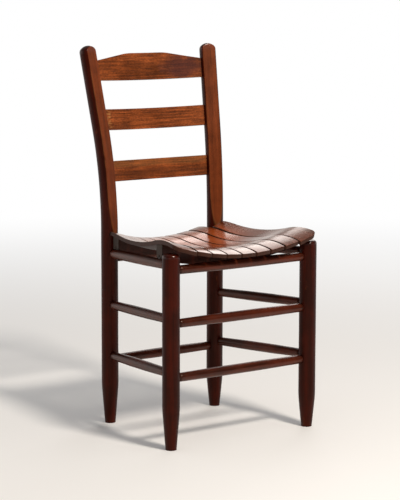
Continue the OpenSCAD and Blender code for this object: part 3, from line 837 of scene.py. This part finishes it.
def make_front_leg(side_name, sizes, material):
    side = SIDES[side_name]
    node = f"front_leg_{side_name}"
    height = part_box(node)[1].z
    edge = height - sizes.top_round
    centre = (sizes.diameter / 2 - sizes.top_round, edge)
    crown = [*arc(centre, sizes.top_round, 0, math.pi / 2, ARC_STEPS), Vector((0, height))]
    bm = turned_post(sizes, side, spaced(taper_height(sizes, side), edge, PLAIN_PITCH), crown)
    mark_blank(bm, "Z", Vector((0.9 + 0.3 * side, 0.2, 0)))
    hand_worn(bm, POST_WEAR, POST_WEAR_SIZE, 8 + side)
    foot = foot_places()[node]
    bend(bm, lambda point: point + foot)
    finish_piece(bm, f"{side_name}_round_leg", node, material)


# ---- Rungs ------------------------------------------------------------------

# Clearance between a rung's shoulder and its leg, and the chamfer at the end of its tenon
SHOULDER_GAP = 0.001
TENON_CHAMFER = 0.001
# Share of the thickness lost to wear, and the size of the worn places
RUNG_WEAR = 0.02
RUNG_WEAR_SIZE = 0.05
# Fineness of the mesh round a rung and over its shoulder
RUNG_SEGMENTS = 64
SHOULDER_STEPS = 6


def rung_legs(node):
    """The two legs that a rung joins."""
    if node.startswith("front"):
        return "front_leg_left", "front_leg_right"
    if node.startswith("rear"):
        return "back_post_left", "back_post_right"
    side = node.split("_")[0]
    return f"back_post_{side}", f"front_leg_{side}"


def rung_profile(body, half, stop, sizes):
    """Half profile of one half of a rung, from its swelling out to the end of its tenon."""
    neck = body - sizes.slimming / 2
    tenon = sizes.tenon / 2
    end = half - sizes.tenon_stop
    neck_start = Vector((neck, stop - sizes.shoulder))
    swelling = [Vector((body, half / 4)).lerp(neck_start, share) for share in (0, 0.25, 0.5, 0.75)]
    shoulder = []
    for step in range(SHOULDER_STEPS + 1):
        angle = math.pi / 2 * step / SHOULDER_STEPS
        radius = tenon + (neck - tenon) * math.cos(angle)
        shoulder.append(Vector((radius, neck_start.y + sizes.shoulder * math.sin(angle))))
    tip = ((tenon, end - TENON_CHAMFER), (tenon - TENON_CHAMFER, end), (0, end))
    return [*swelling, *shoulder, *map(Vector, tip)]


def make_rung(node, sizes, leg_radius, material, seed):
    feet = foot_places()
    start, end = (feet[leg].copy() for leg in rung_legs(node))
    side_rung = node.startswith(("left", "right"))
    rise = sizes.rise if side_rung else 0.0
    start.z, end.z = middle(node).z - rise / 2, middle(node).z + rise / 2
    carries_seat = side_rung and "seat" in node
    body = (sizes.seat_diameter if carries_seat else sizes.diameter) / 2
    half = (end - start).length / 2
    profile = rung_profile(body, half, half - leg_radius - SHOULDER_GAP, sizes)
    other_end = [Vector((point.x, -point.y)) for point in reversed(profile)]
    bm = turn([*other_end, Vector((body, 0)), *profile], RUNG_SEGMENTS)
    mark_blank(bm, "Z", Vector((0.31, 0.17, 0.53)) * seed)
    hand_worn(bm, RUNG_WEAR, RUNG_WEAR_SIZE, seed)
    along = (end - start).to_track_quat("Z", "Y").to_matrix()
    centre = (start + end) / 2
    bend(bm, lambda point: centre + along @ point)
    finish_piece(bm, f"turned_{node}", node, material)


# ---- Back slats -------------------------------------------------------------

# How far a slat's end stops short of the middle of its post
SLAT_STOP = 0.003
ARRIS_SEGMENTS = 4


def crest_height(sizes, x, height):
    """Height of the crested top edge at x."""
    beyond = abs(x) - sizes.crest_half
    reach = sizes.crest_soften / 2
    if beyond <= -reach:
        return height
    if beyond >= reach:
        return height - sizes.crest_fall * beyond
    return height - sizes.crest_fall * (beyond + reach) ** 2 / (4 * reach)


def post_at(path, splay, z):
    """Place of the right post's centre at a height, across and back."""
    along = z - path.start
    if along < path.end.z - path.start:
        shift = path.radius - math.sqrt(path.radius**2 - along**2)
    else:
        shift = path.end.x + (z - path.end.z) * math.tan(path.lean)
    foot = path.place.translation
    return foot.x + shift * math.sin(splay), foot.y + shift * math.cos(splay)


def make_back_slat(node, crested, sizes, legs, material, seed):
    path = PostBend(legs, 1, foot_places()["back_post_right"])
    bottom, top = getattr(sizes, node)
    span, bottom_y = post_at(path, legs.splay, bottom)
    lean = math.atan2(post_at(path, legs.splay, top)[1] - bottom_y, top - bottom)
    height = (top - bottom) / math.cos(lean)
    half = span - SLAT_STOP
    radius = (span**2 + sizes.bow**2) / (2 * sizes.bow)
    half_arc = radius * math.asin(half / radius)
    bm = block((-half_arc, -sizes.thickness / 2, 0), (half_arc, sizes.thickness / 2, height))
    arrises = [edge for edge in bm.edges if abs(edge.verts[0].co.x - edge.verts[1].co.x) > half]
    round_edges(bm, arrises, sizes.arris, ARRIS_SEGMENTS)
    saw_rings(bm, 0, spaced(-half_arc, half_arc, BEND_PITCH))
    saw_rings(bm, 2, [height / 2])
    if crested:
        for vert in bm.verts:
            vert.co.z *= crest_height(sizes, vert.co.x, height) / height
    mark_blank(bm, "X", Vector((0.21, 0.43, 0.77)) * seed)
    tilt = Matrix.Translation((0, bottom_y, bottom)) @ Matrix.Rotation(-lean, 4, "X")

    def bowed(point):
        angle = point.x / radius
        reach = radius + point.y
        back = sizes.set_back + sizes.bow - radius + reach * math.cos(angle)
        return tilt @ Vector((reach * math.sin(angle), back, point.z))

    bend(bm, bowed)
    finish_piece(bm, node.replace("slat", "back_slat"), node, material, flat_sided=True)


# ---- Seat -------------------------------------------------------------------

# Gap between the outer boards' rear ends and the posts
POST_GAP = 0.001
# Length left whole at a board's ends, beside the rounding of its edges
RING_MARGIN = 0.002
CORNER_SEGMENTS = 10


class SeatForm:
    """The seat's surface from front to back, and the plan of its boards.

    Boards are numbered from -OUTER on the left to OUTER on the right, and INNER of them lie between.
    """

    INNER = 7
    OUTER = 4

    def __init__(self, sizes, leg_radius):
        feet = foot_places()
        self.sizes = sizes
        self.front_y = feet["front_leg_right"].y
        self.back_y = feet["back_post_right"].y
        self.low_y = self.front_y - sizes.front_reach
        self.high_y = self.back_y + sizes.back_reach
        self.outer_end = self.back_y - leg_radius - POST_GAP
        self.front = Vector((self.front_y + sizes.front_crest_in, sizes.height))
        self.dip = Vector((self.front_y + sizes.dip_in, sizes.height - sizes.dip))
        self.rear = Vector((self.back_y - sizes.rear_crest_in, sizes.height - sizes.rear_drop))
        sums = [self.radii_sum(crest) for crest in (self.front, self.rear)]
        self.dip_r = sizes.dip_share * min(sums)
        self.front_r, self.rear_r = (total - self.dip_r for total in sums)
        self.front_join = self.dip.x - self.dip_r * (self.dip.x - self.front.x) / sums[0]
        self.rear_join = self.dip.x + self.dip_r * (self.rear.x - self.dip.x) / sums[1]
        self.half_front = feet["front_leg_right"].x + sizes.side_front
        self.half_back = feet["back_post_right"].x + sizes.side_back
        self.pitch_front = 2 * (self.half_front - sizes.outer_front - sizes.gap / 2) / self.INNER
        self.pitch_back = 2 * (self.half_back - sizes.outer_back - sizes.gap / 2) / self.INNER
        self.mid_y = (self.low_y + self.high_y) / 2

    def radii_sum(self, crest):
        """The two radii that join a crest to the dip, added."""
        return ((crest - self.dip).length_squared) / (2 * (crest.y - self.dip.y))

    def surface(self, y):
        """Height of the seat's middle line at y, and its slope."""
        if y < self.front_join:
            centre, radius, sign = self.front, self.front_r, -1
        elif y > self.rear_join:
            centre, radius, sign = self.rear, self.rear_r, -1
        else:
            centre, radius, sign = self.dip, self.dip_r, 1
        root = math.sqrt(radius**2 - (y - centre.x) ** 2)
        return centre.y + sign * (radius - root), sign * (y - centre.x) / root

    def taper(self, back, front, y):
        return back + (front - back) * (self.high_y - y) / (self.high_y - self.low_y)

    def half_width(self, y):
        return self.taper(self.half_back, self.half_front, y)

    def edges(self, i, y):
        """Left and right edge of board i at y, in plan."""
        pitch = self.taper(self.pitch_back, self.pitch_front, y)
        gap = self.sizes.gap / 2
        left = -self.half_width(y) if i == -self.OUTER else (i - 0.5) * pitch + gap
        right = self.half_width(y) if i == self.OUTER else (i + 0.5) * pitch - gap
        return left, right

    def centre(self, i, y):
        return sum(self.edges(i, y)) / 2


class BoardPlace:
    """Where one seat board lies: turned in plan, raised and tilted about its own middle line."""

    def __init__(self, form, i, width):
        self.form = form
        self.i = i
        self.width = width
        self.mid_x = form.centre(i, form.mid_y)
        half = form.half_width(form.mid_y)
        dish = form.sizes.dish
        self.lift = dish * (self.mid_x / half) ** 2
        self.tilt = math.atan(2 * dish * self.mid_x / half**2)
        run = form.high_y - form.low_y
        self.fan = math.atan((form.centre(i, form.low_y) - form.centre(i, form.high_y)) / run)

    def plan_x(self, share, y):
        left, right = self.form.edges(self.i, y)
        return left + (right - left) * share

    def bent(self, point):
        """Place of a point of the straight board on the finished seat."""
        form = self.form
        height, slope = form.surface(point.y)
        steep = math.hypot(1, slope)
        y = point.y - point.z * slope / steep - form.mid_y
        z = height + point.z / steep - form.dip.y
        share = point.x / self.width + 0.5
        base = self.plan_x(share, 0)
        rate = self.plan_x(share, 1) - base
        cos_fan, sin_fan = math.cos(self.fan), math.sin(self.fan)
        reach = base + rate * (y * cos_fan + form.mid_y) + y * sin_fan - self.mid_x
        level_x = reach / (cos_fan - rate * sin_fan)
        across = (level_x + z * math.sin(self.tilt)) / math.cos(self.tilt)
        raised = across * math.sin(self.tilt) + z * math.cos(self.tilt)
        return Vector((
            self.mid_x + level_x * cos_fan - y * sin_fan,
            form.mid_y + level_x * sin_fan + y * cos_fan,
            form.dip.y + self.lift + raised))


def make_seat_board(number, sizes, form, material):
    i = number - 1 - SeatForm.OUTER
    outer = abs(i) == SeatForm.OUTER
    width = sizes.outer_front if outer else form.pitch_front - sizes.gap
    end = form.outer_end if outer else form.high_y
    thick = sizes.thickness
    bm = block((-width / 2, form.low_y, -thick), (width / 2, end, 0))
    if outer:
        outside = math.copysign(1, i)
        upright = [
            edge for edge in bm.edges
            if all(vert.co.x * outside > 0 and vert.co.y < form.mid_y for vert in edge.verts)
        ]
        round_edges(bm, upright, sizes.corner, CORNER_SEGMENTS)
    rims = ((0, sizes.arris, ARRIS_SEGMENTS), (-thick, sizes.arris / 2, 2))
    for level, radius, segments in rims:
        rim = [edge for edge in bm.edges if all(abs(vert.co.z - level) < MERGE for vert in edge.verts)]
        round_edges(bm, rim, radius, segments)
    saw_rings(bm, 1, spaced(form.low_y + RING_MARGIN, end - RING_MARGIN, BEND_PITCH))
    mark_blank(bm, "Y", Vector((0.29, 0.61, 0.37)) * number)
    bend(bm, BoardPlace(form, i, width).bent)
    finish_piece(bm, f"seat_board_{number}", f"seat_slat_{number}", material, flat_sided=True)


# ---- Stage ------------------------------------------------------------------

FLOOR_RADIUS = 14
# Distances from the chair at which the floor starts to fade, and is white
FLOOR_FADE = (0.9, 4.5)
KEY_PLACE = (0.1, -2.4, 3.0)
KEY_SIZE = 0.6
KEY_TINT = (1.0, 0.93, 0.84)
BACK_PLACE = (2.5, 2.1, 2.2)
BACK_SIZE = 1.8
# Power of the lamp behind, as a share of the front one's
BACK_SHARE = 0.24
SENSOR_WIDTH = 36
# Nearest and farthest distances that the camera shows
CLIP = (0.1, 60)


def seen_directly(made):
    """Two signals: 1 for what is seen straight, and 1 for what is seen mirrored or through glass."""
    path = made.node("ShaderNodeLightPath", {}, {}).socket.node
    kinds = ("Is Camera Ray", "Is Glossy Ray", "Is Transmission Ray")
    camera, glossy, through = (Signal(made, path.outputs[kind]) for kind in kinds)
    return camera, (glossy + through).math("MINIMUM", glossy + through, 1.0)


def make_floor(settings):
    """A wide pale floor that fades to white far from the chair."""
    material, made = new_material("pale_floor")
    distance = made.node("ShaderNodeVectorMath", {"operation": "LENGTH"}, {0: made.object_place()}, 1)
    camera, mirrored = seen_directly(made)
    far = made.step(distance, *FLOOR_FADE) * (camera + mirrored)
    matt = made.node("ShaderNodeBsdfDiffuse", {}, {"Color": rgba(settings.floor)})
    white = made.node("ShaderNodeEmission", {}, {"Color": WHITE, "Strength": 1.0})
    mixed = made.node("ShaderNodeMixShader", {}, {0: far, 1: matt, 2: white})
    made.node("ShaderNodeOutputMaterial", {}, {"Surface": mixed})
    bm = bmesh.new()
    bmesh.ops.create_circle(bm, cap_ends=True, cap_tris=False, segments=96, radius=FLOOR_RADIUS)
    floor = add_mesh(bm, "floor", material)


def make_world(settings):
    """Even soft light all round; white where it is seen, and less bright in mirrors towards the front."""
    world = bpy.data.worlds.new("soft_room")
    bpy.context.scene.world = world
    world.use_nodes = True
    made = Finish(world.node_tree)
    camera, mirrored = seen_directly(made)
    direction = made.node("ShaderNodeTexCoord", {}, {}, "Generated")
    x, y, z = made.parts(direction)
    behind = made.step(y + x * 0.3, -0.45, 0.5)
    low = 1.0 - made.step(z, 0.16, 0.42)
    mirror_light = 0.05 + behind * (0.2 + low * 0.7)
    lighting = (1.0 - camera) * (1.0 - mirrored)
    strength = camera + mirrored * mirror_light + lighting * settings.fill
    light = made.node("ShaderNodeBackground", {}, {"Color": WHITE, "Strength": strength})
    made.node("ShaderNodeOutputWorld", {}, {"Surface": light})


def make_lamp(name, place, aim, size, power, tint=(1, 1, 1)):
    lamp = bpy.data.lights.new(name, "AREA")
    lamp.shape = "DISK"
    lamp.size = size
    lamp.energy = power
    lamp.color = tint
    holder = add_object(name, lamp)
    holder.location = place
    holder.rotation_mode = "QUATERNION"
    holder.rotation_quaternion = (Vector(aim) - Vector(place)).to_track_quat("-Z", "Y")


def make_camera(settings):
    camera = bpy.data.cameras.new("camera")
    camera.lens = settings.lens
    camera.sensor_width = SENSOR_WIDTH
    camera.sensor_fit = "AUTO"
    camera.clip_start, camera.clip_end = CLIP
    holder = add_object("camera", camera)
    level = Matrix.Rotation(-settings.yaw, 4, "Z") @ Matrix.Rotation(math.pi / 2 - settings.pitch, 4, "X")
    holder.matrix_world = Matrix.Translation(settings.eye) @ level @ Matrix.Rotation(settings.roll, 4, "Z")
    bpy.context.scene.camera = holder


# ---- Operators --------------------------------------------------------------


class CHAIR_OT_back_posts(Operator):
    """Make the two bent back posts"""

    bl_idname = "chair.back_posts"
    bl_label = "Back posts"

    def execute(self, context):
        chair = context.scene.chair
        material = post_wood(chair.finish)
        for side_name in SIDES:
            make_back_post(side_name, chair.legs, material)
        return {"FINISHED"}


class CHAIR_OT_front_legs(Operator):
    """Make the two front legs"""

    bl_idname = "chair.front_legs"
    bl_label = "Front legs"

    def execute(self, context):
        chair = context.scene.chair
        material = leg_wood(chair.finish)
        for side_name in SIDES:
            make_front_leg(side_name, chair.legs, material)
        return {"FINISHED"}


class CHAIR_OT_rungs(Operator):
    """Make the eleven turned rungs"""

    bl_idname = "chair.rungs"
    bl_label = "Rungs"

    def execute(self, context):
        chair = context.scene.chair
        material = rung_wood(chair.finish)
        nodes = sorted(name for name in frame["nodes"] if name.endswith("_rung"))
        for seed, node in enumerate(nodes, start=1):
            make_rung(node, chair.rungs, chair.legs.diameter / 2, material, seed)
        return {"FINISHED"}


class CHAIR_OT_back_slats(Operator):
    """Make the three bowed back slats"""

    bl_idname = "chair.back_slats"
    bl_label = "Back slats"

    def execute(self, context):
        chair = context.scene.chair
        slats = (
            ("top_slat", True, 0.0, top_slat_marks),
            ("middle_slat", False, 0.02, middle_slat_marks),
            ("lower_slat", False, 0.0, lower_slat_marks),
        )
        for seed, (node, crested, tone_shift, marks) in enumerate(slats, start=1):
            material = back_slat_wood(f"{node}_wood", chair.finish, tone_shift, marks)
            make_back_slat(node, crested, chair.back, chair.legs, material, seed)
        return {"FINISHED"}


class CHAIR_OT_seat_boards(Operator):
    """Make the nine bent seat boards"""

    bl_idname = "chair.seat_boards"
    bl_label = "Seat boards"

    def execute(self, context):
        chair = context.scene.chair
        form = SeatForm(chair.seat, chair.legs.diameter / 2)
        for number in range(1, 2 * SeatForm.OUTER + 2):
            tone_shift = 0.05 * noise.noise(Vector((number * 1.7, 0.3, 0.9)))
            material = seat_wood(chair.finish, number, tone_shift)
            make_seat_board(number, chair.seat, form, material)
        return {"FINISHED"}


class CHAIR_OT_rails(Operator):
    """Finish the two rails under the seat"""

    bl_idname = "chair.rails"
    bl_label = "Seat rails"

    def execute(self, context):
        for node in ("front_rail", "rear_rail"):
            give_material(frame["nodes"][node], rail_wood(node, context.scene.chair.finish))
        return {"FINISHED"}


class CHAIR_OT_fasteners(Operator):
    """Finish the screws, nails and pins"""

    bl_idname = "chair.fasteners"
    bl_label = "Screws, nails and pins"

    def execute(self, context):
        material = old_steel(context.scene.chair.finish)
        for node in ("seat_screws", "rail_nails", "slat_pins"):
            give_material(frame["nodes"][node], material)
        return {"FINISHED"}


def give_material(piece, material):
    """Puts one material in all of a CAD node's slots."""
    for slot in piece.material_slots:
        slot.material = material


class CHAIR_OT_stage(Operator):
    """Make the floor, the lamps, the soft room light and the camera"""

    bl_idname = "chair.stage"
    bl_label = "Stage"

    def execute(self, context):
        settings = context.scene.chair.stage
        make_floor(settings)
        make_world(settings)
        low, high = CAD_BOX
        aim = (low + high) / 2
        make_lamp("key", KEY_PLACE, aim, KEY_SIZE, settings.key_power, KEY_TINT)
        make_lamp("back_light", BACK_PLACE, aim, BACK_SIZE, settings.key_power * BACK_SHARE)
        make_camera(settings)
        context.scene.view_settings.view_transform = "Standard"
        return {"FINISHED"}


class CHAIR_PT_sidebar(Panel):
    """Lists the chair's sizes and steps"""

    bl_idname = "CHAIR_PT_sidebar"
    bl_label = "Ladder-Back Side Chair"
    bl_space_type = "VIEW_3D"
    bl_region_type = "UI"
    bl_category = "Chair"

    def draw(self, context):
        chair = context.scene.chair
        for step in STEPS:
            self.layout.operator(step.bl_idname)
        for group in (chair.legs, chair.rungs, chair.back, chair.seat, chair.finish, chair.stage):
            box = self.layout.box()
            for name in group.__annotations__:
                box.prop(group, name)


STEPS = (
    CHAIR_OT_back_posts,
    CHAIR_OT_front_legs,
    CHAIR_OT_rungs,
    CHAIR_OT_back_slats,
    CHAIR_OT_seat_boards,
    CHAIR_OT_rails,
    CHAIR_OT_fasteners,
    CHAIR_OT_stage,
)
CLASSES = (
    CHAIR_PG_legs,
    CHAIR_PG_rungs,
    CHAIR_PG_back,
    CHAIR_PG_seat,
    CHAIR_PG_finish,
    CHAIR_PG_stage,
    CHAIR_PG_chair,
    *STEPS,
    CHAIR_PT_sidebar,
)


def register():
    for cls in CLASSES:
        bpy.utils.register_class(cls)
    bpy.types.Scene.chair = PointerProperty(type=CHAIR_PG_chair)


def unregister():
    del bpy.types.Scene.chair
    for cls in reversed(CLASSES):
        bpy.utils.unregister_class(cls)


def main():
    register()
    bpy.ops.chair.back_posts()
    bpy.ops.chair.front_legs()
    bpy.ops.chair.rungs()
    bpy.ops.chair.back_slats()
    bpy.ops.chair.seat_boards()
    bpy.ops.chair.rails()
    bpy.ops.chair.fasteners()
    bpy.ops.chair.stage()


if __name__ == "__main__":
    main()
